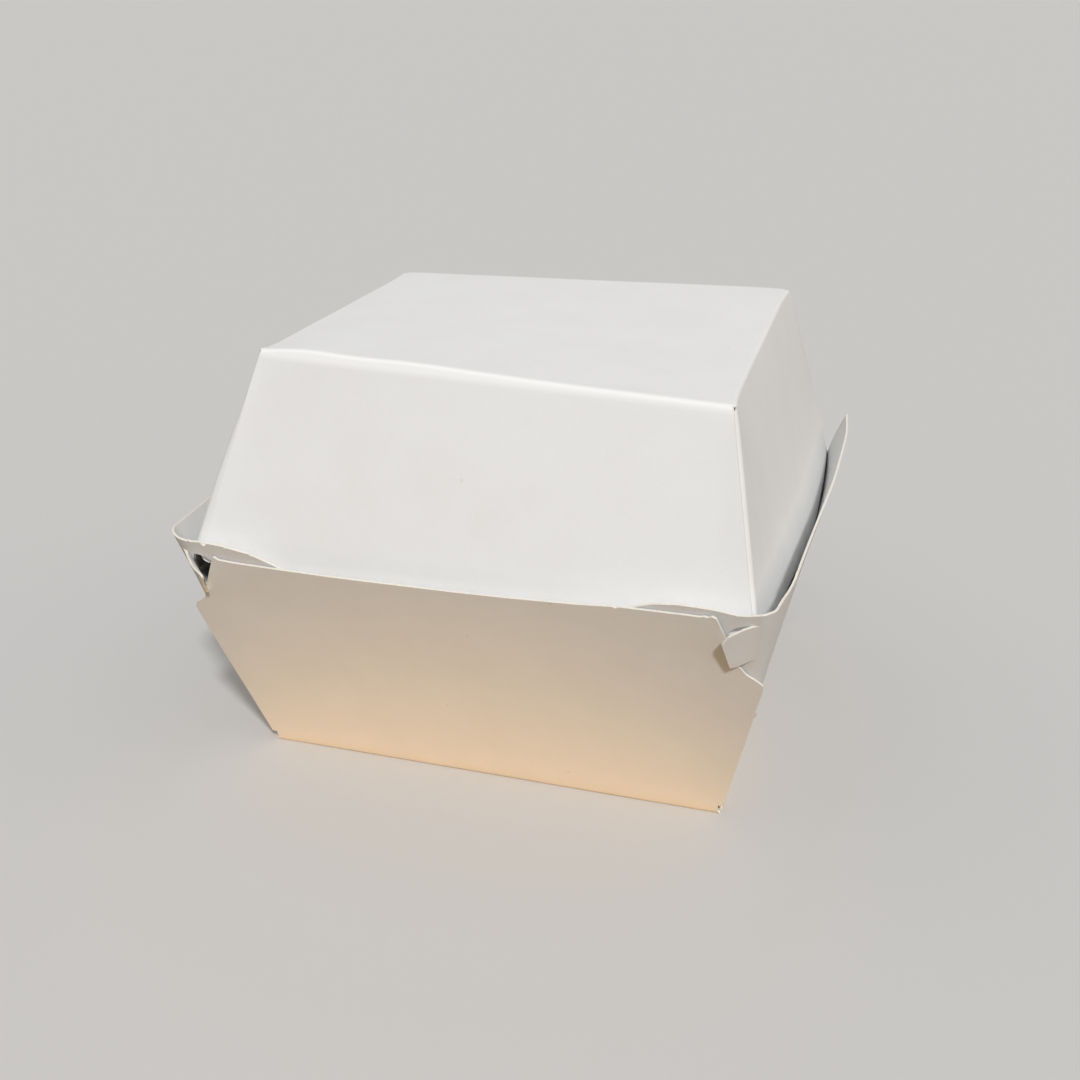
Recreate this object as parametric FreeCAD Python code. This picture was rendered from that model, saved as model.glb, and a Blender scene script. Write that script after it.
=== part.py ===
import FreeCAD, Part
import math
import os

from FreeCAD import Vector

# A clamshell takeout box folded from one sheet of white paperboard. All sizes are in millimetres.
# X runs along the front, Y from front to back, Z up; the origin is the centre of the bottom's
# underside. The sheet is written as two solids that meet at the hinge crease, so the lid can turn.

# Board
board = 0.45
lap_gap = 0.15            # air between an end wall and the corner flap folded behind it
crease_gap = 0.1          # half of the slit left at the hinge crease
fold_radius = 1.2         # outside radius of a fold between a side wall and a flap
flap_relief = 1.2         # how far a flap stays clear of the bottom or top panel it stands on
flap_start = 4.0          # distance from the corner at which a flap is flat
tip_radius = 8.0          # rounding of a flap's free corners
nick_radius = 0.6         # rounding that a cutting die leaves on a sharp corner
small_radius = 1.0
soft_radius = 2.0
overlap = 0.3             # how far two pieces of the same board run into each other
blank_margin = 4.0        # how far a folded blank runs past its outline before it is cut

# Tray
tray_half_width = 50.0
tray_half_depth = 43.9
side_flare = 0.213        # slope of the side walls, as run over rise
end_flare = 0.376         # slope of the front and rear walls, as run over rise
front_height = 53.5
side_height = 56.0
hinge_height = 44.8
ear_back = 58.2           # how far back the raised ears of the side walls reach
rim_fold_radius = 4.0     # outside radius of the front corner folds at the rim
front_flap_length = 27.0
rear_flap_length = 22.0
tray_foot_angle = 46.0    # rise of a flap's foot; the flat sheet needs it to clear the end wall
rear_flap_drop = 1.4      # how far the rear flaps stay below the hinge

# Lock at the front corners
hook_low = 43.4
hook_high = 53.0
hook_root_rise = 2.2      # how far the lower end of the hook's crease lies above its heel
hook_heel = 3.0
hook_tip_height = 48.9
hook_reach = 6.4          # from the hook's crease to its tip
hook_nose = 2.0           # how far the upper corner lies back from the tip
hook_shoulder = 1.2       # how far that corner lies under the crease's upper end
hook_cut = 0.25           # clearance between a hook and the hole it was cut from
hook_open_left = 35.0     # degrees the left hook stands off its flap
hook_open_right = 30.0    # degrees the right hook stands off its flap, over the front wall
notch_low = 39.8
notch_waist_height = 44.0
notch_depth = 6.3         # from the wall's side edge to the notch at its waist
bump_drop = 1.3           # how far the corner below the notch lies under it
bump_step = 1.6
front_top_half_width = 49.6
slit_height = 2.6
slit_width = 0.5

# Lid
lid_top = 89.4
lid_half_width = 47.6
lid_front_reach = 43.4
lid_rear_reach = 35.6
lid_side_flare = 0.233
lid_front_flare = 0.481
lid_front_bottom = 51.5
lid_side_bottom = 46.0
lid_flap_bottom = 52.2
lid_side_setback = 3.4    # how far the lower front corner of a lid side wall is cut back
lid_flap_length = 20.0
lid_foot_angle = 54.0
raw_edge_gap = 0.4        # how far the lid's end walls stop short of its side walls


class Wall:
    """A flat wall whose outer face stands reach(z) from the box's centre plane."""

    def __init__(self, axis, sign, reach_at_zero, flare):
        self.axis = axis
        self.sign = sign
        self.reach_at_zero = reach_at_zero
        self.flare = flare

    def reach(self, z):
        return self.reach_at_zero + self.flare * z

    def inset(self, distance):
        shift = distance * math.hypot(1, self.flare)
        return Wall(self.axis, self.sign, self.reach_at_zero - shift, self.flare)

    def point(self, along, z):
        out = self.sign * self.reach(z)
        return Vector(out, along, z) if self.axis == "x" else Vector(along, out, z)

    def inward(self):
        side = Vector(1, 0, 0) if self.axis == "x" else Vector(0, 1, 0)
        return (side * -self.sign + Vector(0, 0, self.flare)).normalize()

    def sheet(self, outline, thickness=board):
        """Board of this outline, (along, z) or (along, z, corner radius), on the wall's plane."""
        return Part.Face(rounded_wire(outline, self.point)).extrude(self.inward() * thickness)


def rounded_wire(outline, place):
    """Closed wire through the outline's corners, with tangent arcs where a radius is given."""
    corners = [place(spot[0], spot[1]) for spot in outline]
    stops = []
    edges = []
    for index, corner in enumerate(corners):
        radius = outline[index][2] if len(outline[index]) > 2 else 0
        back = (corners[index - 1] - corner).normalize()
        ahead = (corners[(index + 1) % len(corners)] - corner).normalize()
        half = back.getAngle(ahead) / 2
        tangent = radius / math.tan(half)
        start, end = corner + back * tangent, corner + ahead * tangent
        stops.append((start, end))
        if radius:
            inwards = (back + ahead).normalize()
            middle = corner + inwards * (radius / math.sin(half) - radius)
            edges.append(Part.Arc(start, middle, end).toShape())
    for index, (start, end) in enumerate(stops):
        edges.append(Part.LineSegment(stops[index - 1][1], start).toShape())
    return Part.Wire(Part.__sortEdges__(edges))


def mirrored(outline):
    """The outline of a symmetric wall, from its right half listed from bottom to top."""
    return outline + [(-spot[0],) + tuple(spot[1:]) for spot in reversed(outline)]


def union(solids):
    return solids[0].fuse(solids[1:]).removeSplitter()


def left_of(shape):
    """The same piece on the left of the box."""
    return shape.mirror(Vector(0, 0, 0), Vector(1, 0, 0))


def half_block(side, front, rear, low, high, front_radii=None, rear_radii=None):
    """Solid from the box's middle out to three walls; each pair of radii rounds an upright edge
    from its lower end to its upper one."""
    rings = []
    for z in (low, high):
        out, ahead, back = side.reach(z), -front.reach(z), rear.reach(z)
        spots = [(0, ahead), (out, ahead), (out, back), (0, back)]
        rings.append(Part.makePolygon([Vector(x, y, z) for x, y in spots + spots[:1]]))
    block = Part.makeLoft(rings, True, True)
    middle = (low + high) / 2
    for wall, radii in ((front, front_radii), (rear, rear_radii)):
        if radii:
            spot = Vector(side.reach(middle), wall.sign * wall.reach(middle), middle)
            probe = Part.Vertex(spot)
            edge = min(block.Edges, key=lambda item: item.distToShape(probe)[0])
            rises = edge.firstVertex(True).Z < edge.lastVertex(True).Z
            start, end = radii if rises else reversed(radii)
            block = block.makeFillet(start, end, [edge])
    return block


def rolled_side(side, front_flap, rear_flap, outline, front_radii, rear_radii):
    """A side wall with its board rolled round both upright folds, up to where the flaps start.
    Each pair of radii holds for the outline's lowest and highest point."""
    heights = [spot[1] for spot in outline]
    low, high = min(heights) - blank_margin, max(heights) + blank_margin
    spread = blank_margin / (max(heights) - min(heights))
    pairs = []
    for at_low, at_high in (front_radii, rear_radii):
        growth = (at_high - at_low) * spread
        pairs.append((at_low - growth, at_high + growth))
    outer = half_block(side, front_flap, rear_flap, low, high, *pairs)
    within = [wall.inset(board) for wall in (side, front_flap, rear_flap)]
    inner = half_block(*within, low, high, *[[radius - board for radius in pair] for pair in pairs])
    core = half_block(side.inset(flap_start), front_flap.inset(-flap_start),
                      rear_flap.inset(-flap_start), low, high)
    profile = Part.Face(rounded_wire(outline, lambda y, z: Vector(0, y, z)))
    across = Vector(2 * max(side.reach(low), side.reach(high)), 0, 0)
    return outer.cut(inner).cut(core).common(profile.extrude(across))


def foot_height(side, root_z, free_z, angle, x):
    """Height of a flap's foot edge, which leaves the corner at root_z towards free_z."""
    run = side.inset(board).reach(root_z) - x
    return root_z + math.copysign(run * math.tan(math.radians(angle)), free_z - root_z)


def flap(side, wall, root_z, free_z, length, angle):
    """A corner flap on its wall's plane, from beside its fold to its rounded free end. Its foot
    is near the bottom or top panel, at root_z, and its long edge lies at the mouth, at free_z."""
    root = side.reach(root_z) - flap_start + overlap
    inner = side.reach(free_z) - length
    return wall.sheet([
        (root, foot_height(side, root_z, free_z, angle, root)),
        (side.reach(free_z) - flap_start + overlap, free_z),
        (inner, free_z, tip_radius),
        (inner, foot_height(side, root_z, free_z, angle, inner), tip_radius),
    ])


def foot_wedge(side, wall, root_z, free_z, angle):
    """What is trimmed off the rolled fold under a flap's foot edge."""
    corner = side.inset(board).reach(root_z)
    outside = root_z - math.copysign(tip_radius, free_z - root_z)
    outline = [
        (corner, root_z),
        (0, foot_height(side, root_z, free_z, angle, 0)),
        (0, outside),
        (corner, outside),
    ]
    return wall.inset(-board).sheet(outline, 3 * board)


def hook_outline(side, clearance):
    """The locking hook as it lies in its flap, from the lower end of its crease."""
    root_low = hook_low + hook_root_rise
    tip = side.reach(hook_tip_height) - flap_start - hook_reach
    return [
        (side.reach(root_low) - flap_start, root_low - clearance),
        (side.reach(hook_low) - flap_start - hook_heel, hook_low - clearance, nick_radius),
        (tip - clearance, hook_tip_height, small_radius),
        (tip + hook_nose, hook_high - hook_shoulder + clearance, soft_radius),
        (side.reach(hook_high) - flap_start, hook_high + clearance),
    ]


def hook(side, wall, opening):
    """The hook, turned about its crease until it stands its angle off the flap."""
    tab = wall.sheet(hook_outline(side, 0))
    low, high = [wall.point(side.reach(z) - flap_start, z) for z in (hook_low, hook_high)]
    tab.rotate(low, high - low, opening)
    return tab


def build_tray():
    side = Wall("x", 1, tray_half_width, side_flare)
    front = Wall("y", -1, tray_half_depth, end_flare)
    rear = Wall("y", 1, tray_half_depth, end_flare)
    front_flap = front.inset(board + lap_gap)
    rear_flap = rear.inset(board + lap_gap)
    edge = side.reach

    bottom = Part.makeBox(2 * tray_half_width, 2 * tray_half_depth, board,
                          Vector(-tray_half_width, -tray_half_depth, 0))
    bump = notch_low - bump_drop
    front_wall = front.sheet(mirrored([
        (edge(0) - slit_width, 0),
        (edge(0) - slit_width, slit_height),
        (edge(slit_height), slit_height),
        (edge(bump), bump, small_radius),
        (edge(notch_low) - bump_step, notch_low, small_radius),
        (edge(notch_waist_height) - notch_depth, notch_waist_height, soft_radius),
        (front_top_half_width, front_height, nick_radius),
    ]))
    rear_top = hinge_height - crease_gap
    rear_wall = rear.sheet(mirrored([(edge(0), 0), (edge(hinge_height), hinge_height)]))
    crease_block = Part.makeBox(4 * tray_half_width, 4 * board, 4 * board,
                                Vector(-2 * tray_half_width, rear.reach(rear_top) - 3 * board, rear_top))

    flap_top = hinge_height - rear_flap_drop
    inside = board + overlap
    side_outline = [
        (-front_flap.inset(inside).reach(0), 0),
        (-front_flap.inset(inside).reach(flap_relief), flap_relief),
        (-front_flap.inset(-flap_start).reach(flap_relief), flap_relief),
        (-front_flap.inset(-flap_start).reach(side_height), side_height),
        (ear_back, side_height, small_radius),
        (rear_flap.inset(inside).reach(flap_top), flap_top),
        (rear_flap.inset(-flap_start).reach(flap_top), flap_top),
        (rear_flap.inset(-flap_start).reach(flap_relief), flap_relief),
        (rear_flap.inset(inside).reach(flap_relief), flap_relief),
        (rear_flap.inset(inside).reach(0), 0),
    ]
    wall = rolled_side(side, front_flap, rear_flap, side_outline,
                       (fold_radius, rim_fold_radius), (fold_radius, fold_radius))
    hole = front_flap.inset(-board).sheet(hook_outline(side, hook_cut), 3 * board)
    pieces = [wall.cut(hole)]
    for end, free_z, length in ((front_flap, side_height, front_flap_length),
                                (rear_flap, flap_top, rear_flap_length)):
        pieces[0] = pieces[0].cut(foot_wedge(side, end, flap_relief, free_z, tray_foot_angle))
        pieces.append(flap(side, end, flap_relief, free_z, length, tray_foot_angle).cut(hole))
    folded = union(pieces)
    right_hook = hook(side, front_flap, hook_open_right)
    left_hook = left_of(hook(side, front_flap, hook_open_left))
    ends = [bottom, front_wall, rear_wall.cut(crease_block)]
    return union(ends + [folded, left_of(folded), right_hook, left_hook])


def build_lid():
    side = Wall("x", 1, lid_half_width + lid_side_flare * lid_top, -lid_side_flare)
    front = Wall("y", -1, lid_front_reach + lid_front_flare * lid_top, -lid_front_flare)
    hinge_reach = tray_half_depth + end_flare * hinge_height
    rear_flare = (hinge_reach - lid_rear_reach) / (lid_top - hinge_height)
    rear = Wall("y", 1, hinge_reach + rear_flare * hinge_height, -rear_flare)
    front_flap = front.inset(board + lap_gap)
    rear_flap = rear.inset(board + lap_gap)
    edge = side.inset(raw_edge_gap).reach

    top = Part.makeBox(2 * lid_half_width, lid_front_reach + lid_rear_reach, board,
                       Vector(-lid_half_width, -lid_front_reach, lid_top - board))
    front_wall = front.sheet(mirrored([
        (edge(lid_front_bottom), lid_front_bottom, soft_radius),
        (edge(lid_top), lid_top),
    ]))
    rear_bottom = hinge_height + crease_gap
    rear_wall = rear.sheet(mirrored([(edge(hinge_height), hinge_height), (edge(lid_top), lid_top)]))
    crease_block = Part.makeBox(4 * tray_half_width, 4 * board, 4 * board,
                                Vector(-2 * tray_half_width, rear.reach(rear_bottom) - 3 * board,
                                       rear_bottom - 4 * board))

    flap_root = lid_top - flap_relief
    inside = board + overlap
    setback = lid_side_setback - front_flap.reach(lid_flap_bottom)
    side_outline = [
        (-front_flap.inset(inside).reach(lid_top), lid_top),
        (-front_flap.inset(inside).reach(flap_root), flap_root),
        (-front_flap.inset(-flap_start).reach(flap_root), flap_root),
        (-front_flap.inset(-flap_start).reach(lid_flap_bottom), lid_flap_bottom),
        (-front_flap.inset(inside).reach(lid_flap_bottom), lid_flap_bottom),
        (setback, lid_side_bottom, soft_radius),
        (rear_flap.inset(-flap_start).reach(lid_side_bottom), lid_side_bottom),
        (rear_flap.inset(-flap_start).reach(flap_root), flap_root),
        (rear_flap.inset(inside).reach(flap_root), flap_root),
        (rear_flap.inset(inside).reach(lid_top), lid_top),
    ]
    radii = (fold_radius, fold_radius)
    pieces = [rolled_side(side, front_flap, rear_flap, side_outline, radii, radii)]
    for end, free_z in ((front_flap, lid_flap_bottom), (rear_flap, lid_side_bottom)):
        pieces[0] = pieces[0].cut(foot_wedge(side, end, flap_root, free_z, lid_foot_angle))
        pieces.append(flap(side, end, flap_root, free_z, lid_flap_length, lid_foot_angle))
    folded = union(pieces)
    return union([top, front_wall, rear_wall.cut(crease_block), folded, left_of(folded)])


os.makedirs("parts", exist_ok=True)
for name, build in (("tray", build_tray), ("lid", build_lid)):
    shape = build()
    shape.exportStep("parts/" + name + ".step")
    box = shape.optimalBoundingBox(False, False)
    print(name, shape.isValid(), len(shape.Solids), "solids", round(shape.Volume, 1), "mm3",
          [round(v, 2) for v in (box.XMin, box.YMin, box.ZMin, box.XMax, box.YMax, box.ZMax)])
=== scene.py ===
import math

import bmesh
import bpy
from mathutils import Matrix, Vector, noise


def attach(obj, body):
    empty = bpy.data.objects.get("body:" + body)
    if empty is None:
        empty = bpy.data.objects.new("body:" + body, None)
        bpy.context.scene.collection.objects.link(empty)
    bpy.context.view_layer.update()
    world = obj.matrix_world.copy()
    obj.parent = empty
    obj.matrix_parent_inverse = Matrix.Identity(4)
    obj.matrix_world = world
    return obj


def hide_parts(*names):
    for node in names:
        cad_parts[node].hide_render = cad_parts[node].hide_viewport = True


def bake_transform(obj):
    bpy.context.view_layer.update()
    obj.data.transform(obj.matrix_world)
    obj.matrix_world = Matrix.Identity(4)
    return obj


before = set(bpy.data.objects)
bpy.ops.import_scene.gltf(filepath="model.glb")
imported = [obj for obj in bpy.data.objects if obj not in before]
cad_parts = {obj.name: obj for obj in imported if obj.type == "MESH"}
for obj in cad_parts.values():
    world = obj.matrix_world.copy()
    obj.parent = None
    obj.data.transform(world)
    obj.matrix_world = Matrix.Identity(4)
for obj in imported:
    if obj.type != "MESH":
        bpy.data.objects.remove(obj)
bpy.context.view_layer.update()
noise.seed_set(1)       # without it the noise is another one in each run

# Shapes are worked out in millimetres and made metres when a piece is finished
mm = 0.001
thickness = 0.45        # of the paperboard
lapGap = 0.15           # air between an end wall and the flaps behind it


# A smooth line through (place, value) spots, level past both ends
def throughSpots(spots, place):
    if place <= spots[0][0]:
        return spots[0][1]
    if place >= spots[-1][0]:
        return spots[-1][1]
    index = max(i for i in range(len(spots) - 1) if spots[i][0] <= place)

    def slope(i):
        before, after = spots[max(i - 1, 0)], spots[min(i + 1, len(spots) - 1)]
        return (after[1] - before[1]) / (after[0] - before[0])

    (start, low), (end, high) = spots[index], spots[index + 1]
    run = end - start
    t = (place - start) / run
    return (low * (1 + 2 * t) * (1 - t) ** 2 + high * t * t * (3 - 2 * t)
            + slope(index) * run * t * (1 - t) ** 2 - slope(index + 1) * run * t * t * (1 - t))


# Places from start to stop, about a step apart
def evenly(start, stop, step):
    count = max(1, round(abs(stop - start) / step))
    return [start + (stop - start) * index / count for index in range(count + 1)]


def stations(*runs):
    kept = []
    for place in sorted(place for run in runs for place in run):
        if not kept or place - kept[-1] > 0.02:
            kept.append(place)
    return kept


# Outline with its corners rounded: a spot is (x, z) or (x, z, radius)
def rounded(outline, steps=5):
    spots = []
    for index, spot in enumerate(outline):
        corner = Vector(spot[:2])
        if len(spot) < 3:
            spots.append(tuple(corner))
            continue
        back = Vector(outline[index - 1][:2]) - corner
        ahead = Vector(outline[(index + 1) % len(outline)][:2]) - corner
        half = back.angle(ahead) / 2
        tangent = min(spot[2] / math.tan(half), 0.45 * back.length, 0.45 * ahead.length)
        start, end = corner + back.normalized() * tangent, corner + ahead.normalized() * tangent
        for step in range(steps + 1):
            t = step / steps
            spots.append(tuple(start * (1 - t) ** 2 + corner * 2 * t * (1 - t) + end * t * t))
    return spots


def inside(x, z, outline):
    hit = False
    for (x0, z0), (x1, z1) in zip(outline, outline[1:] + outline[:1]):
        if (z0 > z) != (z1 > z) and x < x0 + (x1 - x0) * (z - z0) / (z1 - z0):
            hit = not hit
    return hit


# Flat blank lying in x and y, with columns and rows at these places
def flatBlank(columns, rows):
    blank = bmesh.new()
    bmesh.ops.create_grid(blank, x_segments=len(columns) - 1, y_segments=len(rows) - 1, size=0.5)
    for vert in blank.verts:
        vert.co.x = columns[round((vert.co.x + 0.5) * (len(columns) - 1))]
        vert.co.y = rows[round((vert.co.y + 0.5) * (len(rows) - 1))]
    return blank


# Scores the blank along an outline, only where the outline runs
def score(blank, outline):
    for start, end in zip(outline, outline[1:] + outline[:1]):
        low = (min(start[0], end[0]) - 0.01, min(start[1], end[1]) - 0.01)
        high = (max(start[0], end[0]) + 0.01, max(start[1], end[1]) + 0.01)
        near = []
        for face in blank.faces:
            xs = [vert.co.x for vert in face.verts]
            zs = [vert.co.y for vert in face.verts]
            if max(xs) > low[0] and min(xs) < high[0] and max(zs) > low[1] and min(zs) < high[1]:
                near += [face, *face.edges, *face.verts]
        across = (end[1] - start[1], start[0] - end[0], 0)
        bmesh.ops.bisect_plane(blank, geom=list(dict.fromkeys(near)), dist=0.002,
                               plane_co=(*start, 0), plane_no=across)


def facesWithin(blank, outline):
    return [face for face in blank.faces
            if inside(face.calc_center_median().x, face.calc_center_median().y, outline)]


# Cuts the blank to its outline
def dieCut(blank, outline):
    score(blank, outline)
    kept = set(facesWithin(blank, outline))
    waste = [face for face in blank.faces if face not in kept]
    bmesh.ops.delete(blank, geom=waste, context="FACES")


def fold(blank, place):
    for vert in blank.verts:
        vert.co = place(vert.co.x, vert.co.y)
    return blank


# Slow unevenness of a board that has been folded by hand
def unevenness(point, depth=0.1, size=22.0):
    return noise.noise_vector(Vector(point) / size) * depth


# Rounds the sharp creases whose middles are chosen
def roundCreases(whole, width, chosen):
    creases = [edge for edge in whole.edges
               if len(edge.link_faces) == 2 and edge.calc_face_angle(0) > math.radians(40)
               and chosen((edge.verts[0].co + edge.verts[1].co) / 2)]
    bmesh.ops.bevel(whole, geom=creases, offset=width, offset_type="OFFSET", segments=5,
                    profile=0.5, affect="EDGES", material=-1, clamp_overlap=True)


# Joins folded panels into one board, rounds its creases and gives it its thickness
def makeBoard(name, panels, rounds, materials):
    whole = bmesh.new()
    for panel in panels:
        holder = bpy.data.meshes.new("panel")
        panel.to_mesh(holder)
        panel.free()
        whole.from_mesh(holder)
        bpy.data.meshes.remove(holder)
    bmesh.ops.remove_doubles(whole, verts=whole.verts, dist=0.03)
    bmesh.ops.recalc_face_normals(whole, faces=whole.faces)
    middle = sum((vert.co for vert in whole.verts), Vector()) / len(whole.verts)
    if sum((face.calc_center_median() - middle).dot(face.normal) * face.calc_area()
           for face in whole.faces) < 0:
        bmesh.ops.reverse_faces(whole, faces=whole.faces)
    for width, chosen in rounds:
        roundCreases(whole, width, chosen)
    for vert in whole.verts:
        vert.co = (vert.co + unevenness(vert.co)) * mm
    flat = bpy.data.meshes.new(name + "Sheet")
    whole.to_mesh(flat)
    whole.free()
    return finishBoard(name, flat, materials)


def finishBoard(name, flat, materials):
    sheet = bpy.data.objects.new(name + "Sheet", flat)
    bpy.context.scene.collection.objects.link(sheet)
    for material in materials:
        flat.materials.append(material)
    solidify = sheet.modifiers.new("Board", "SOLIDIFY")
    solidify.thickness = thickness * mm
    solidify.offset = -1
    solidify.use_rim = True
    solidify.material_offset_rim = 1
    graph = bpy.context.evaluated_depsgraph_get()
    mesh = bpy.data.meshes.new_from_object(sheet.evaluated_get(graph))
    bpy.data.objects.remove(sheet)
    mesh.name = name
    mesh.shade_smooth()
    mesh.set_sharp_from_angle(angle=math.radians(38))
    piece = bpy.data.objects.new(name, mesh)
    bpy.context.scene.collection.objects.link(piece)
    return piece


# Wraps a socket, so that shader maths reads as Python
class Wire:
    def __init__(self, shader, socket):
        self.shader = shader
        self.socket = socket

    def maths(self, operation, first, second):
        return self.shader.node("ShaderNodeMath", {"operation": operation}, {0: first, 1: second})

    def __add__(self, other):
        return self.maths("ADD", self, other)

    def __mul__(self, other):
        return self.maths("MULTIPLY", self, other)

    def __sub__(self, other):
        return self.maths("SUBTRACT", self, other)

    def __rsub__(self, other):
        return self.maths("SUBTRACT", other, self)

    __radd__ = __add__
    __rmul__ = __mul__


class Shader:
    def __init__(self, owner):
        self.owner = owner
        owner.use_nodes = True
        self.tree = owner.node_tree
        self.tree.nodes.clear()

    # Any node: its settings first, then the values or links of its sockets
    def node(self, kind, settings=None, sockets=None, output=0):
        made = self.tree.nodes.new(kind)
        for key, value in (settings or {}).items():
            if key == "stops":
                for index, (place, colour) in enumerate(value):
                    stop = (made.color_ramp.elements[index] if index < 2
                            else made.color_ramp.elements.new(place))
                    stop.position, stop.color = place, colour
            else:
                setattr(made, key, value)
        for key, value in (sockets or {}).items():
            if isinstance(value, Wire):
                self.tree.links.new(value.socket, made.inputs[key])
            else:
                made.inputs[key].default_value = value
        return Wire(self, made.outputs[output]) if made.outputs else None

    def mix(self, factor, first, second):
        return self.node("ShaderNodeMix", {"data_type": "RGBA"},
                         {0: factor, 6: first, 7: second}, output=2)

    def between(self, value, low, high):
        return self.node("ShaderNodeMapRange", {"clamp": True},
                         {"Value": value, "From Min": low, "From Max": high})

    def axes(self, place):
        return [self.node("ShaderNodeSeparateXYZ", None, {0: place}, output=axis)
                for axis in range(3)]

    # 1 where the surface is looked at, 0 where it only sends light on
    def looked(self):
        return sum((self.node("ShaderNodeLightPath", output=ray) for ray in (
            "Is Camera Ray", "Is Glossy Ray", "Is Transmission Ray")), 0.0)

    def finish(self, colour, roughness, normal=None, specular=0.35):
        sockets = {"Base Color": colour, "Roughness": roughness, "Specular IOR Level": specular}
        if normal:
            sockets["Normal"] = normal
        surface = self.node("ShaderNodeBsdfPrincipled", None, sockets)
        self.node("ShaderNodeOutputMaterial", None, {"Surface": surface})
        return self.owner


boardLook = dict(
    white=(0.80, 0.80, 0.79, 1),
    cloud=(0.777, 0.774, 0.76, 1),
    speck=(0.45, 0.42, 0.38, 1),
    cutEdge=(0.86, 0.825, 0.75, 1),
    cutShade=(0.74, 0.69, 0.60, 1),
    # painted highlight: a lighter colour along the lid's front crease
    creaseHighlight=(0.89, 0.888, 0.875, 1),
    roughness=0.52,
    # sizes of the noises, the larger the finer
    cloudScale=95.0, fibreScale=1500.0, grainScale=420.0, speckScale=90.0, cutScale=1900.0,
    # where the painted highlight along the lid's front crease runs: half its width, how far it
    # sinks to the right, and its reach down and back
    creaseSide=0.047, creaseSink=0.0026, creaseHeight=(0.0879, 0.0890),
    creaseBack=(-0.0417, -0.0430),
)


def boardMaterial():
    shader = Shader(bpy.data.materials.new("whiteBoard"))
    place = shader.node("ShaderNodeTexCoord", output="Object")
    cloud = shader.node("ShaderNodeTexNoise", None,
                        {"Vector": place, "Scale": boardLook["cloudScale"], "Detail": 4.0,
                         "Roughness": 0.6})
    stretched = shader.node("ShaderNodeMapping", None,
                            {"Vector": place, "Scale": (1.0, 1.0, 2.2)})
    fibre = shader.node("ShaderNodeTexNoise", None,
                        {"Vector": stretched, "Scale": boardLook["fibreScale"], "Detail": 3.0,
                         "Roughness": 0.6})
    grain = shader.node("ShaderNodeTexNoise", None,
                        {"Vector": place, "Scale": boardLook["grainScale"], "Detail": 2.0,
                         "Roughness": 0.5})
    dots = shader.node("ShaderNodeTexVoronoi", None,
                       {"Vector": place, "Scale": boardLook["speckScale"]})
    speck = shader.between(dots, 0.030, 0.018)
    colour = shader.mix(shader.between(cloud, 0.35, 0.7), boardLook["white"], boardLook["cloud"])
    colour = shader.mix(shader.between(fibre, 0.35, 0.75) * 0.35, colour, boardLook["cloud"])
    colour = shader.mix(speck * 0.35, colour, boardLook["speck"])
    x, y, z = shader.axes(place)
    # Painted highlight: the board's colour is made lighter in a band along the lid's front crease
    side = boardLook["creaseSide"]
    level = z + shader.between(x, -side, side) * boardLook["creaseSink"]
    creaseHighlight = (shader.between(level, *boardLook["creaseHeight"])
               * shader.between(y, *boardLook["creaseBack"]))
    colour = shader.mix(creaseHighlight, colour, boardLook["creaseHighlight"])
    relief = fibre * 0.45 + grain * 0.55
    normal = shader.node("ShaderNodeBump", None,
                         {"Height": relief, "Strength": 0.35, "Distance": 0.00012})
    roughness = fibre * 0.12 + (boardLook["roughness"] - 0.06)
    return shader.finish(colour, roughness, normal)


def cutEdgeMaterial():
    shader = Shader(bpy.data.materials.new("cutEdge"))
    place = shader.node("ShaderNodeTexCoord", output="Object")
    fibre = shader.node("ShaderNodeTexNoise", None,
                        {"Vector": place, "Scale": boardLook["cutScale"], "Detail": 3.0,
                         "Roughness": 0.7})
    colour = shader.mix(shader.between(fibre, 0.35, 0.75), boardLook["cutEdge"],
                        boardLook["cutShade"])
    normal = shader.node("ShaderNodeBump", None,
                         {"Height": fibre, "Strength": 0.6, "Distance": 0.0002})
    return shader.finish(colour, 0.85, normal, specular=0.2)


board, cutEdge = boardMaterial(), cutEdgeMaterial()
print("materials ready")


# One rolled strip: a side wall with a flap round each upright fold, on the right of the box.
# Along the strip, 0 is the front fold and run the rear one.
strip = dict(
    run=100.0,
    ease=14.0,          # next to a fold, distances along the strip are true ones
)


def alongStrip(q, length):
    run, ease = strip["run"], strip["ease"]
    if q < ease:
        return q
    if q > run - ease:
        return length - run + q
    return ease + (q - ease) * (length - 2 * ease) / (run - 2 * ease)


# Place in plan, for a wall whose face is at x = out between the flaps' faces at y = ahead and back
def rolledPlan(q, out, ahead, back, frontRadius, rearRadius):
    length = back - ahead
    along = alongStrip(q, length)
    fromRear = along > length / 2
    reach = length - along if fromRear else along
    radius = rearRadius if fromRear else frontRadius
    if reach >= radius:
        x, y = out, reach
    elif reach <= -radius:
        x, y = out + reach, 0
    else:
        turn = (reach + radius) / radius * math.pi / 4
        x, y = out - radius + radius * math.sin(turn), radius - radius * math.cos(turn)
    return x, back - y if fromRear else ahead + y


stripColumns = stations(
    evenly(-34, -12, 2.0), evenly(-12, -1.6, 0.8), evenly(-1.6, 1.6, 0.4), evenly(1.6, 8, 0.8),
    [1.5, strip["run"] - 1.5], evenly(8, 92, 3.0), evenly(92, 98.4, 1.6), evenly(98.4, 101.6, 0.4),
    evenly(101.6, 126, 2.4))


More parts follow.
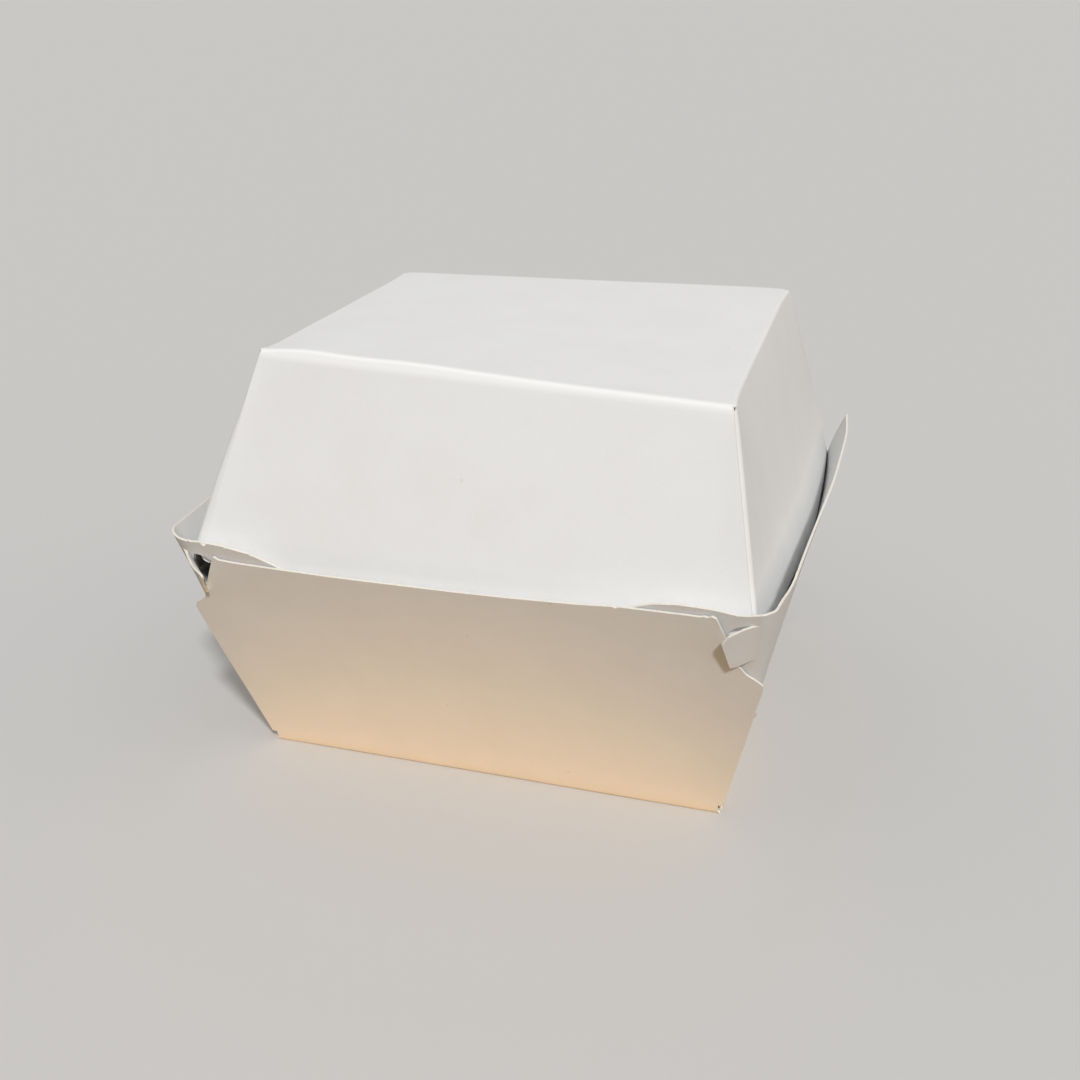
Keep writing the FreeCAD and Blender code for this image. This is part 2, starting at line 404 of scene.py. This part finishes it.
tray = dict(
    halfWidth=50.0, halfDepth=43.9, sideFlare=0.213, endFlare=0.376,
    sideHeight=56.0, hingeHeight=44.8, hingeCrease=0.5,
    rightRadii=[(0, 1.2), (20, 1.6), (40, 2.6), (56, 3.2)],
    leftRadii=[(0, 1.2), (10, 1.8), (30, 4.2), (42, 6.2), (56, 7.0)],
    rearRadius=1.2,
    slit=0.5, slitHeight=2.6,
    foldReach=1.4,               # half the width of an upright fold's foot, which has no crease
    # top edge of the front wall, (x, z), and how far it bulges forward
    frontTop=[(-49.9, 53.0), (-49.0, 52.2), (-46, 51.9), (-35.9, 51.7), (-26, 51.7), (-15.8, 51.9),
              (0, 52.2), (11.4, 52.6), (24, 53.2), (30.6, 53.8), (31.2, 53.5), (31.9, 53.9),
              (44, 54.0), (46.6, 54.0), (47.3, 54.25), (48.0, 54.1), (48.7, 54.5), (49.4, 54.3)],
    frontBulge=[(-50, 0.25), (-46, 0.1), (-16, 0.35), (11, 0.3), (34, 0.1), (47, 0.1), (50, 0.4)],
    # side edges of the front wall from the slit up
    rightEdge=[(50.55, 2.6), (55.1, 23.6), (56.45, 30.2), (56.95, 30.8), (56.9, 31.7),
               (56.75, 32.1), (57.9, 37.2, 0.8), (58.15, 38.9, 0.6), (57.2, 39.8, 0.5),
               (54.9, 41.35, 0.9), (53.4, 43.4, 1.2), (51.3, 49.5), (49.5, 54.25, 0.5)],
    leftEdge=[(50.55, 2.6), (55.1, 23.6), (57.8, 36.9, 1.5), (58.1, 38.6, 0.9),
              (57.6, 39.8, 0.8), (55.7, 41.1, 0.6), (54.9, 41.8, 0.6), (53.8, 44.9, 1.0),
              (51.7, 49.5, 1.5), (49.9, 53.0, 0.5)],
    # top edge of the front flaps, (distance from the fold, z), from the free end to the fold
    rightFlapTop=[(31.5, 45.0), (31.2, 48.4), (30.2, 51.0), (28.4, 53.2), (26.1, 54.4),
                  (23.5, 55.3), (19.5, 55.8), (15.8, 55.75), (12.6, 55.6), (8.5, 55.0),
                  (5.5, 55.3), (3, 55.8), (0, 56.0)],
    leftFlapTop=[(29.5, 43.0), (28.6, 46.5), (26.8, 49.6), (24.1, 51.9), (20.0, 54.0),
                 (19.7, 53.8), (19.4, 54.3), (15.0, 55.2), (14.7, 55.0), (14.4, 55.4),
                 (10.8, 55.7), (10.3, 55.1), (9.7, 55.0), (9.4, 55.8), (7.2, 55.65), (6.9, 55.95),
                 (6.5, 55.65), (3, 55.8), (0, 56.0)],
    flapFoot=1.2, frontFlapEnd=(-24.0, 21.6), rearFlapEnd=(15.9, 14.7),
    rearFlapLength=22.0, rearFlapTop=43.4, earBack=6.1,
    # bow of the side walls' rims in x, by y
    rightBow=[(-64, -2.3), (-61.6, -2.1), (-57, -1.6), (-52.7, -1.0), (-47.4, -0.6), (-38, -0.3),
              (-23, 0.3), (-4.5, 1.2), (8.4, 1.6), (20.7, 1.7), (36, 1.7), (44.5, 1.5), (58, 0.4)],
    leftBow=[(-60, -0.5), (-51.5, -0.1), (-42.5, 0.6), (-20, 1.3), (10, 1.5), (36, 1.4),
             (58, 0.3)],
    # how steeply the bow grows up the wall at the front and at the rear, and the y between
    # which it changes
    bowRise=(1.6, 3.0), bowChange=(-20, 20),
    rimBurr=[(18.4, 56.0), (17.9, 56.6), (17.3, 56.9), (16.8, 56.6), (16.5, 56.0)],
    # how far the ears are drawn in just above the rear wall, at which height and over how
    # much of it each way, and the y between which it sets in
    rearPinch=1.2, pinchHeight=(45.5, 9), pinchReach=(25, 58),
    # distance of the rear wall's sides from the side walls' faces: low, up to what height,
    # and at its top
    rearInset=(0.5, 30, 1.6),
)

# The two hooks of the front flaps. Distances are taken from the upright fold.
hook = dict(
    bend=1.6,                    # width over which the board bends at the crease
    # distance of the crease and degrees that the hook stands open, by height
    right=dict(crease=[(45.2, 1.6), (53.3, 2.7)], opening=[(44, 30), (53, 30)],
               outline=[(1.6, 45.2), (5.1, 44.2, 0.5), (6.5, 44.3, 0.4), (9.3, 50.7, 0.4),
                        (8.3, 52.2, 1.2), (5.6, 53.0, 2.0), (2.7, 53.3)]),
    left=dict(crease=[(45.0, 2.6), (53.3, 2.2)],
              opening=[(44, 55), (49, 48), (51.5, 43), (53, 52)],
              outline=[(2.6, 45.0), (5.0, 44.3, 0.5), (6.3, 44.8, 0.4), (10.0, 51.0, 0.4),
                       (8.9, 52.3, 1.2), (6.0, 52.9, 2.0), (2.2, 53.3)]),
)


# 0 before the first of two places, 1 past the second
def share(place, reach):
    return min(1, max(0, (place - reach[0]) / (reach[1] - reach[0])))


def traySide(z):
    return tray["halfWidth"] + tray["sideFlare"] * z


def trayEnd(z):
    return tray["halfDepth"] + tray["endFlare"] * z


# Place on the tray's front wall
def frontWallSpot(x, z):
    bulge = throughSpots(tray["frontBulge"], x) * (z / 53) ** 2
    return Vector((x, -trayEnd(z) - bulge, z))


def trayStripSpot(hand, q, z):
    side = "right" if hand > 0 else "left"
    lap = (thickness + lapGap) * math.hypot(1, tray["endFlare"])
    ahead, back = -trayEnd(z) + lap, trayEnd(z) - lap
    x, y = rolledPlan(q, traySide(z), ahead, back, throughSpots(tray[side + "Radii"], z),
                      tray["rearRadius"])
    onSide = share(q, (-8, 0)) * share(-q, (-strip["run"] - 6, -strip["run"]))
    height, spread = tray["pinchHeight"]
    pinch = max(0, 1 - ((z - height) / spread) ** 2) * share(y, tray["pinchReach"])
    front, rear = tray["bowRise"]
    rise = front + (rear - front) * share(y, tray["bowChange"])
    x += throughSpots(tray[side + "Bow"], y) * onSide * max(0, z / tray["sideHeight"]) ** rise
    x -= tray["rearPinch"] * pinch
    return Vector((hand * x, y, z))


# The hook leaves its flap at its crease and turns on to its own opening over a short bend
def hookSpot(hand, q, z):
    look = hook["right" if hand > 0 else "left"]
    crease = throughSpots(look["crease"], z)
    beyond = -q - crease
    if beyond <= 0:
        return trayStripSpot(hand, q, z)
    root = trayStripSpot(hand, -crease, z)
    heading = trayStripSpot(hand, -crease - 0.02, z) - trayStripSpot(hand, -crease + 0.02, z)
    across = Vector((-hand, 0, 0))
    out = Vector((0, -1, -tray["endFlare"])).normalized()
    first = math.atan2(heading.dot(out), heading.dot(across))
    last = math.radians(throughSpots(look["opening"], z))
    rate = (last - first) / hook["bend"]
    flatRun = max(0, beyond - hook["bend"])
    angle = first + rate * min(beyond, hook["bend"])
    along = (math.sin(angle) - math.sin(first)) / rate + flatRun * math.cos(last)
    off = (math.cos(first) - math.cos(angle)) / rate + flatRun * math.sin(last)
    return root + across * along + out * off


def trayStrip(hand):
    run = strip["run"]
    blank = flatBlank(stripColumns, stations(evenly(0, 36, 3.0), evenly(36, 57, 1.0), [1.2]))
    top = tray["rightFlapTop" if hand > 0 else "leftFlapTop"]
    flapLength, flapTop = tray["rearFlapLength"], tray["rearFlapTop"]
    outline = [(1.5, 0), (run - 1.5, 0), (run - 1.5, tray["flapFoot"]), (run, tray["flapFoot"]),
               (run + tray["rearFlapEnd"][0], tray["rearFlapEnd"][1], 8),
               (run + flapLength, flapTop, 8), (run + 0.4, flapTop), (run - 0.3, flapTop + 0.6),
               (run - tray["earBack"], tray["sideHeight"], 1.0)]
    if hand > 0:
        outline += tray["rimBurr"]
    outline += [(-distance, z) for distance, z in reversed(top)]
    outline += [(tray["frontFlapEnd"][0], tray["frontFlapEnd"][1], 8), (0, tray["flapFoot"]),
                (1.5, tray["flapFoot"])]
    dieCut(blank, rounded(outline))
    look = hook["right" if hand > 0 else "left"]
    hookLine = rounded([(-spot[0],) + tuple(spot[1:]) for spot in look["outline"]])
    score(blank, hookLine)
    tab = set(facesWithin(blank, hookLine))
    cuts = [edge for edge in blank.edges if len(edge.link_faces) == 2
            and (edge.link_faces[0] in tab) != (edge.link_faces[1] in tab)
            and any(abs(vert.co.x + throughSpots(look["crease"], vert.co.y)) > 0.02
                    for vert in edge.verts)]
    bmesh.ops.split_edges(blank, edges=cuts)
    tabVerts = {vert for face in blank.faces if face in tab for vert in face.verts}
    for vert in blank.verts:
        spot = hookSpot if vert in tabVerts else trayStripSpot
        vert.co = spot(hand, vert.co.x, vert.co.y)
    return blank


bottomColumns = stations(evenly(-46, 46, 4.0), [-50, -49.5, 49.5, 50])


def trayFrontWall():
    slit = tray["halfWidth"] - tray["slit"]
    columns = stations(bottomColumns, evenly(-62, -50, 1.5), evenly(50, 62, 1.5))
    blank = flatBlank(columns, stations(evenly(0, 36, 3.0), evenly(36, 56, 1.5)))
    outline = [(-slit, 0), (slit, 0), (slit, tray["slitHeight"])]
    outline += tray["rightEdge"]
    outline += [(x, z) for x, z in reversed(tray["frontTop"][1:-1])]
    outline += [(-spot[0],) + tuple(spot[1:]) for spot in reversed(tray["leftEdge"])]
    outline += [(-slit, tray["slitHeight"])]
    dieCut(blank, rounded(outline))
    return fold(blank, frontWallSpot)


def trayRearWall():
    top = tray["hingeHeight"] - tray["hingeCrease"]
    inset, height, topInset = tray["rearInset"]
    blank = flatBlank(stations(bottomColumns, evenly(-62, -50, 3), evenly(50, 62, 3)),
                      stations(evenly(0, top, 3.0)))
    dieCut(blank, [(-tray["halfWidth"] + inset, 0), (tray["halfWidth"] - inset, 0),
                   (traySide(height) - inset, height), (traySide(top) - topInset, top),
                   (-traySide(top) + topInset, top), (-traySide(height) + inset, height)])
    return fold(blank, lambda x, z: Vector((x, trayEnd(z), z)))


def trayBottom():
    reach = tray["foldReach"]
    rows = [trayStripSpot(1, q, 0).y for q in stripColumns if reach < q < strip["run"] - reach]
    rows = [-tray["halfDepth"], *rows, tray["halfDepth"]]
    blank = flatBlank(bottomColumns, rows)
    return fold(blank, lambda x, y: Vector((x, y, 0)))


trayBoard = makeBoard("trayBoard", [trayBottom(), trayFrontWall(), trayRearWall(), trayStrip(1),
                                    trayStrip(-1)], [(0.5, lambda place: place.z < 1)],
                      [board, cutEdge])
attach(trayBoard, "tray")
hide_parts("tray")
print("tray folded,", len(trayBoard.data.polygons), "faces")


lid = dict(
    top=89.4, halfWidth=47.6, front=43.4, rear=35.6,
    sideFlare=0.233, frontFlare=0.481, rearFlare=0.5638,
    frontBottom=50.2, sideBottom=46.0, flapBottom=52.2, rearFlapBottom=45.35,
    # how far the front wall's cut sides stand off, over what width and from what share of
    # its height down
    leftEdgeLift=0.8, rightEdgeLift=0.35, liftWidth=7.0, liftDown=6.0,
    # distance of the front wall's cut sides from the folds at its lower corners, left and right
    frontEdges=(2.6, 0.55), rearEdges=(0.75, 0.75),
    topEdge=0.5, rootSlit=0.8,   # how far end walls and flaps keep from the top's corners
    foldRadius=1.3, foldReach=0.7,
    clearOfTray=1.4, clearEase=0.3,     # room in front of the front wall, and how softly it turns
    flapRoot=88.7, frontFlapEnd=(-15.3, 72.2), rearFlapEnd=(13.4, 74.2), flapLength=20.0,
    # lower front corner of the side walls, (distance from the fold, z)
    sideFoot=[(0.9, 52.2), (2.6, 49.4), (7.0, 46.4, 2.0), (10, 46.0)],
    # how far the top's corners stand from their true places: left front, right front, rear ones
    frontLeft=(-0.1, 0.3, 0.1), frontRight=(0.1, -0.1, -2.6),
    rearLeft=(-0.5, -0.2, 0.2), rearRight=(-0.1, 4.2, 1.6),
    creaseRise=[(-47.6, 0.0), (-38, 0.9), (-27, 0.7), (-16, 0.9), (0, 0.5), (16, 0.2),
                (47.6, 0.0)],
    # how far the side walls' lower edges stand out, by y
    rightBow=[(-64, 0), (-45, 0.2), (-28, 0.9), (-14, 1.9), (4, 2.4), (21, 2.1), (35, 1.7),
              (50, 0.9), (60, 0.1)],
    leftBow=[(-64, 0.0), (-58, 0.35), (-52, 1.2), (-45, 1.5), (-28, 1.6), (-14, 1.9), (4, 2.1),
             (21, 1.8), (35, 1.3), (50, 0.7), (60, 0.1)],
    bowFall=(1.0, 1.3),          # how steeply it grows down the wall, left and right
    # how far the top's side creases are drawn in, how far its rear corners sink, over what
    # length, and how far they go inwards and forwards for it
    edgePull=0.9, cornerSink=0.8, cornerReach=2.6, cornerDraw=(0.6, 0.5),
    frontBow=0.5, frontBowHalf=60.0,
)
hingePlace = Vector((0, trayEnd(tray["hingeHeight"]), tray["hingeHeight"]))


def lidSide(z):
    return lid["halfWidth"] + lid["sideFlare"] * (lid["top"] - z)


def lidFront(z):
    return lid["front"] + lid["frontFlare"] * (lid["top"] - z)


def lidRear(z):
    return lid["rear"] + lid["rearFlare"] * (lid["top"] - z)


# The lid has set slightly twisted: its top corners move, and its lower edges stay
def settled(point):
    high = share(point.z, (tray["hingeHeight"], lid["top"]))
    across = share(point.x, (-lid["halfWidth"], lid["halfWidth"]))
    deep = share(point.y, (-lid["front"], lid["rear"]))
    front = Vector(lid["frontLeft"]) * (1 - across) + Vector(lid["frontRight"]) * across
    rear = Vector(lid["rearLeft"]) * (1 - across) + Vector(lid["rearRight"]) * across
    moved = point + (front * (1 - deep) + rear * deep) * high
    moved.z += throughSpots(lid["creaseRise"], point.x) * (1 - deep) ** 2 * high ** 4
    pull = lid["edgePull"] * (1 - abs(2 * deep - 1) ** 8) * high ** 6
    moved.x -= pull * point.x / lid["halfWidth"]
    corner = Vector((math.copysign(lid["halfWidth"], point.x), lid["rear"], lid["top"]))
    sink = lid["cornerSink"] * max(0, 1 - (point - corner).length / lid["cornerReach"]) ** 2
    inwards, forwards = lid["cornerDraw"]
    return moved - Vector((math.copysign(sink * inwards, point.x), sink * forwards, sink))


def lidStripSpot(hand, q, z):
    lap = (thickness + lapGap) * math.hypot(1, lid["frontFlare"])
    ahead, back = -lidFront(z) + lap, lidRear(z) - lap
    x, y = rolledPlan(q, lidSide(z), ahead, back, lid["foldRadius"], lid["foldRadius"])
    bow = lid["rightBow" if hand > 0 else "leftBow"]
    fall = max(0, lid["top"] - z) / (lid["top"] - lid["sideBottom"])
    x += throughSpots(bow, y) * fall ** lid["bowFall"][hand > 0]
    return settled(Vector((hand * x, y, z)))


def lidStrip(hand):
    run, slit = strip["run"], lid["rootSlit"]
    blank = flatBlank(stripColumns, stations(evenly(45, lid["top"], 2.0), [lid["flapRoot"]]))
    outline = [(slit, lid["top"]), (slit, lid["flapRoot"]), (0, lid["flapRoot"]),
               (*lid["frontFlapEnd"], 8), (-lid["flapLength"], lid["flapBottom"], 8),
               *lid["sideFoot"], (run - 6, lid["sideBottom"]), (run, lid["rearFlapBottom"]),
               (run + lid["flapLength"], lid["rearFlapBottom"], 8),
               (run + lid["rearFlapEnd"][0], lid["rearFlapEnd"][1], 8), (run, lid["flapRoot"]),
               (run - slit, lid["flapRoot"]), (run - slit, lid["top"])]
    dieCut(blank, rounded(outline))
    return fold(blank, lambda q, z: lidStripSpot(hand, q, z))


lidColumns = stations(evenly(-46, 46, 4.0), [-47.6, -46.85, 46.85, 47.6])


def lidStripRow(q):
    lap = (thickness + lapGap) * math.hypot(1, lid["frontFlare"])
    return rolledPlan(q, lid["halfWidth"], -lid["front"] + lap, lid["rear"] - lap,
                      lid["foldRadius"], lid["foldRadius"])[1]


def lidTop():
    reach = lid["foldReach"]
    rows = [lidStripRow(q) for q in stripColumns if reach < q < strip["run"] - reach]
    blank = flatBlank(lidColumns, [-lid["front"], *rows, lid["rear"]])
    return fold(blank, lambda x, y: settled(Vector((x, y, lid["top"]))))


def lidEndWall(reach, sign, low, cornerRadius):
    left, right = lid["frontEdges"] if sign < 0 else lid["rearEdges"]
    columns = stations(lidColumns, evenly(-60, -48.4, 3), evenly(48.4, 60, 3))
    blank = flatBlank(columns, stations(evenly(low, lid["top"], 3.0)))
    half = lid["halfWidth"] - lid["topEdge"]
    dieCut(blank, rounded([(-half, lid["top"]), (-lidSide(low) + left, low, cornerRadius),
                           (lidSide(low) - right, low, cornerRadius), (half, lid["top"])]))

    def spot(x, z):
        out = reach(z)
        if sign < 0:
            fall = (lid["top"] - z) / (lid["top"] - low)
            middle = math.cos(x / lid["frontBowHalf"] * math.pi / 2)
            out += lid["frontBow"] * middle * math.sin(math.pi * fall)
            lift = lid["rightEdgeLift" if x > 0 else "leftEdgeLift"]
            lift *= min(1, fall * lid["liftDown"])
            out += lift * max(0, 1 - (lidSide(z) - abs(x)) / lid["liftWidth"]) ** 2
            over, ease = out - trayEnd(z) + lid["clearOfTray"], lid["clearEase"]
            out -= max(0, over + ease) ** 2 / (4 * ease) if over < ease else over
        return settled(Vector((x, sign * out, z)))
    return fold(blank, spot)


def frontCrease(place):
    return place.y < -40 and place.z > 80


lidBoard = makeBoard("lidBoard", [
    lidTop(), lidEndWall(lidFront, -1, lid["frontBottom"], 2.0),
    lidEndWall(lidRear, 1, tray["hingeHeight"] + tray["hingeCrease"], 0.01), lidStrip(1),
    lidStrip(-1)], [(1.3, frontCrease), (0.6, lambda place: not frontCrease(place))],
    [board, cutEdge])
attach(lidBoard, "lid")
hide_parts("lid")
print("lid folded,", len(lidBoard.data.polygons), "faces")


# The crease that the lid turns on, where the one sheet goes from the tray's rear wall to the lid's
hinge = dict(
    inset=1.3,                   # distance of its ends from the side walls' faces
    rows=0.125, taper=0.6,
    below=(0, -0.19, -0.5), above=(0, -0.28, 0.5),      # where it leaves the tray and the lid
)


def hingeStrip():
    reach = tray["hingeCrease"]
    half = traySide(tray["hingeHeight"] - reach) - hinge["inset"]
    blank = flatBlank(stations(evenly(-half, half, 4.0)), evenly(-reach, reach, hinge["rows"]))

    def spot(x, rise):
        flare = tray["endFlare"] if rise < 0 else lid["rearFlare"]
        width = x if rise < 0 else x * (1 - hinge["taper"] * rise / half)
        return Vector((width, hingePlace.y - abs(rise) * flare, hingePlace.z + rise))
    fold(blank, spot)
    for vert in blank.verts:
        vert.co = (vert.co + unevenness(vert.co)) * mm
    bmesh.ops.recalc_face_normals(blank, faces=blank.faces)
    if sum(face.normal.y for face in blank.faces) < 0:
        bmesh.ops.reverse_faces(blank, faces=blank.faces)
    flat = bpy.data.meshes.new("hingeSheet")
    blank.to_mesh(flat)
    blank.free()
    return finishBoard("hingeCrease", flat, [board, cutEdge])


hingeCrease = hingeStrip()
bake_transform(hingeCrease)
print("hinge crease made")


stage = dict(
    floorColour=(0.61, 0.60, 0.585, 1), floorSize=40.0,
    # what the floor sends back to the object: a painted pool of warm light near its front and
    # painted shade further off
    bounceNear=(0.86, 0.53, 0.18, 1), bounceFar=(0.10, 0.07, 0.03, 1),
    bounceReach=(0.048, 0.088), bounceShift=(0.0, 0.05, 0.0),
    # soft light from above, from both sides and from the front, and what is seen of it
    skyColour=(0.46, 0.50, 0.53, 1), sideColour=(0.78, 0.66, 0.56, 1),
    aheadColour=(0.32, 0.27, 0.24, 1), backdropColour=(0.60, 0.595, 0.575, 1),
    # squares of the sideways share, and the forward and upward shares, between which it changes
    sideReach=(0.09, 0.81), aheadReach=(-0.2, -0.9), aheadHeight=(0.6, 0.1),
    # direction that the key light comes from, its width in degrees and its level
    keyFrom=(0.34, -0.66, 0.67), keyWidth=5.0, keyLevel=0.64, keyColour=(1.0, 0.995, 1.0),
    cameraPlace=(0.07901337, -0.27665529, 0.15918383),
    cameraTurn=(66.97485, -0.39468, 16.45531), cameraLens=44.6807,
)


def floorMaterial():
    shader = Shader(bpy.data.materials.new("paleFloor"))
    place = shader.node("ShaderNodeTexCoord", output="Object")
    away = shader.node("ShaderNodeVectorMath", {"operation": "LENGTH"},
                       {0: shader.node("ShaderNodeVectorMath", {"operation": "ADD"},
                                       {0: place, 1: stage["bounceShift"]})}, output=1)
    # Painted light: light sent back to the object comes from a painted warm pool near the box and
    # painted shade further off; the camera sees the plain floor colour
    bounce = shader.mix(shader.between(away, *stage["bounceReach"]), stage["bounceNear"],
                        stage["bounceFar"])
    return shader.finish(shader.mix(shader.looked(), bounce, stage["floorColour"]), 0.9,
                         specular=0.1)


# Light from all round: warmer from both sides, lower from the front
def studioWorld():
    shader = Shader(bpy.data.worlds.new("studio"))
    x, y, z = shader.axes(shader.node("ShaderNodeTexCoord", output="Generated"))
    sides = shader.between(x * x, *stage["sideReach"])
    ahead = shader.between(y, *stage["aheadReach"]) * shader.between(z, *stage["aheadHeight"])
    light = shader.mix(sides, stage["skyColour"], stage["sideColour"])
    light = shader.mix(ahead, light, stage["aheadColour"])
    light = shader.mix(shader.looked(), light, stage["backdropColour"])
    background = shader.node("ShaderNodeBackground", None, {"Color": light, "Strength": 1.0})
    shader.node("ShaderNodeOutputWorld", None, {"Surface": background})
    return shader.owner


def makeStage():
    shape = bmesh.new()
    bmesh.ops.create_grid(shape, x_segments=4, y_segments=4, size=stage["floorSize"] / 2)
    mesh = bpy.data.meshes.new("floor")
    shape.to_mesh(mesh)
    shape.free()
    floor = bpy.data.objects.new("floor", mesh)
    bpy.context.scene.collection.objects.link(floor)
    mesh.materials.append(floorMaterial())

    bpy.context.scene.world = studioWorld()

    lamp = bpy.data.lights.new("key", "SUN")
    lamp.angle = math.radians(stage["keyWidth"])
    lamp.energy = stage["keyLevel"] * math.pi
    lamp.color = stage["keyColour"]
    key = bpy.data.objects.new("key", lamp)
    key.rotation_euler = Vector(stage["keyFrom"]).to_track_quat("Z", "Y").to_euler()
    bpy.context.scene.collection.objects.link(key)

    camera = bpy.data.objects.new("camera", bpy.data.cameras.new("camera"))
    camera.location = stage["cameraPlace"]
    camera.rotation_euler = [math.radians(angle) for angle in stage["cameraTurn"]]
    camera.data.lens = stage["cameraLens"]
    camera.data.sensor_width = 36
    camera.data.clip_start = 0.01
    bpy.context.scene.collection.objects.link(camera)
    bpy.context.scene.camera = camera
    bpy.context.scene.view_settings.view_transform = "Standard"


makeStage()
print("stage set")
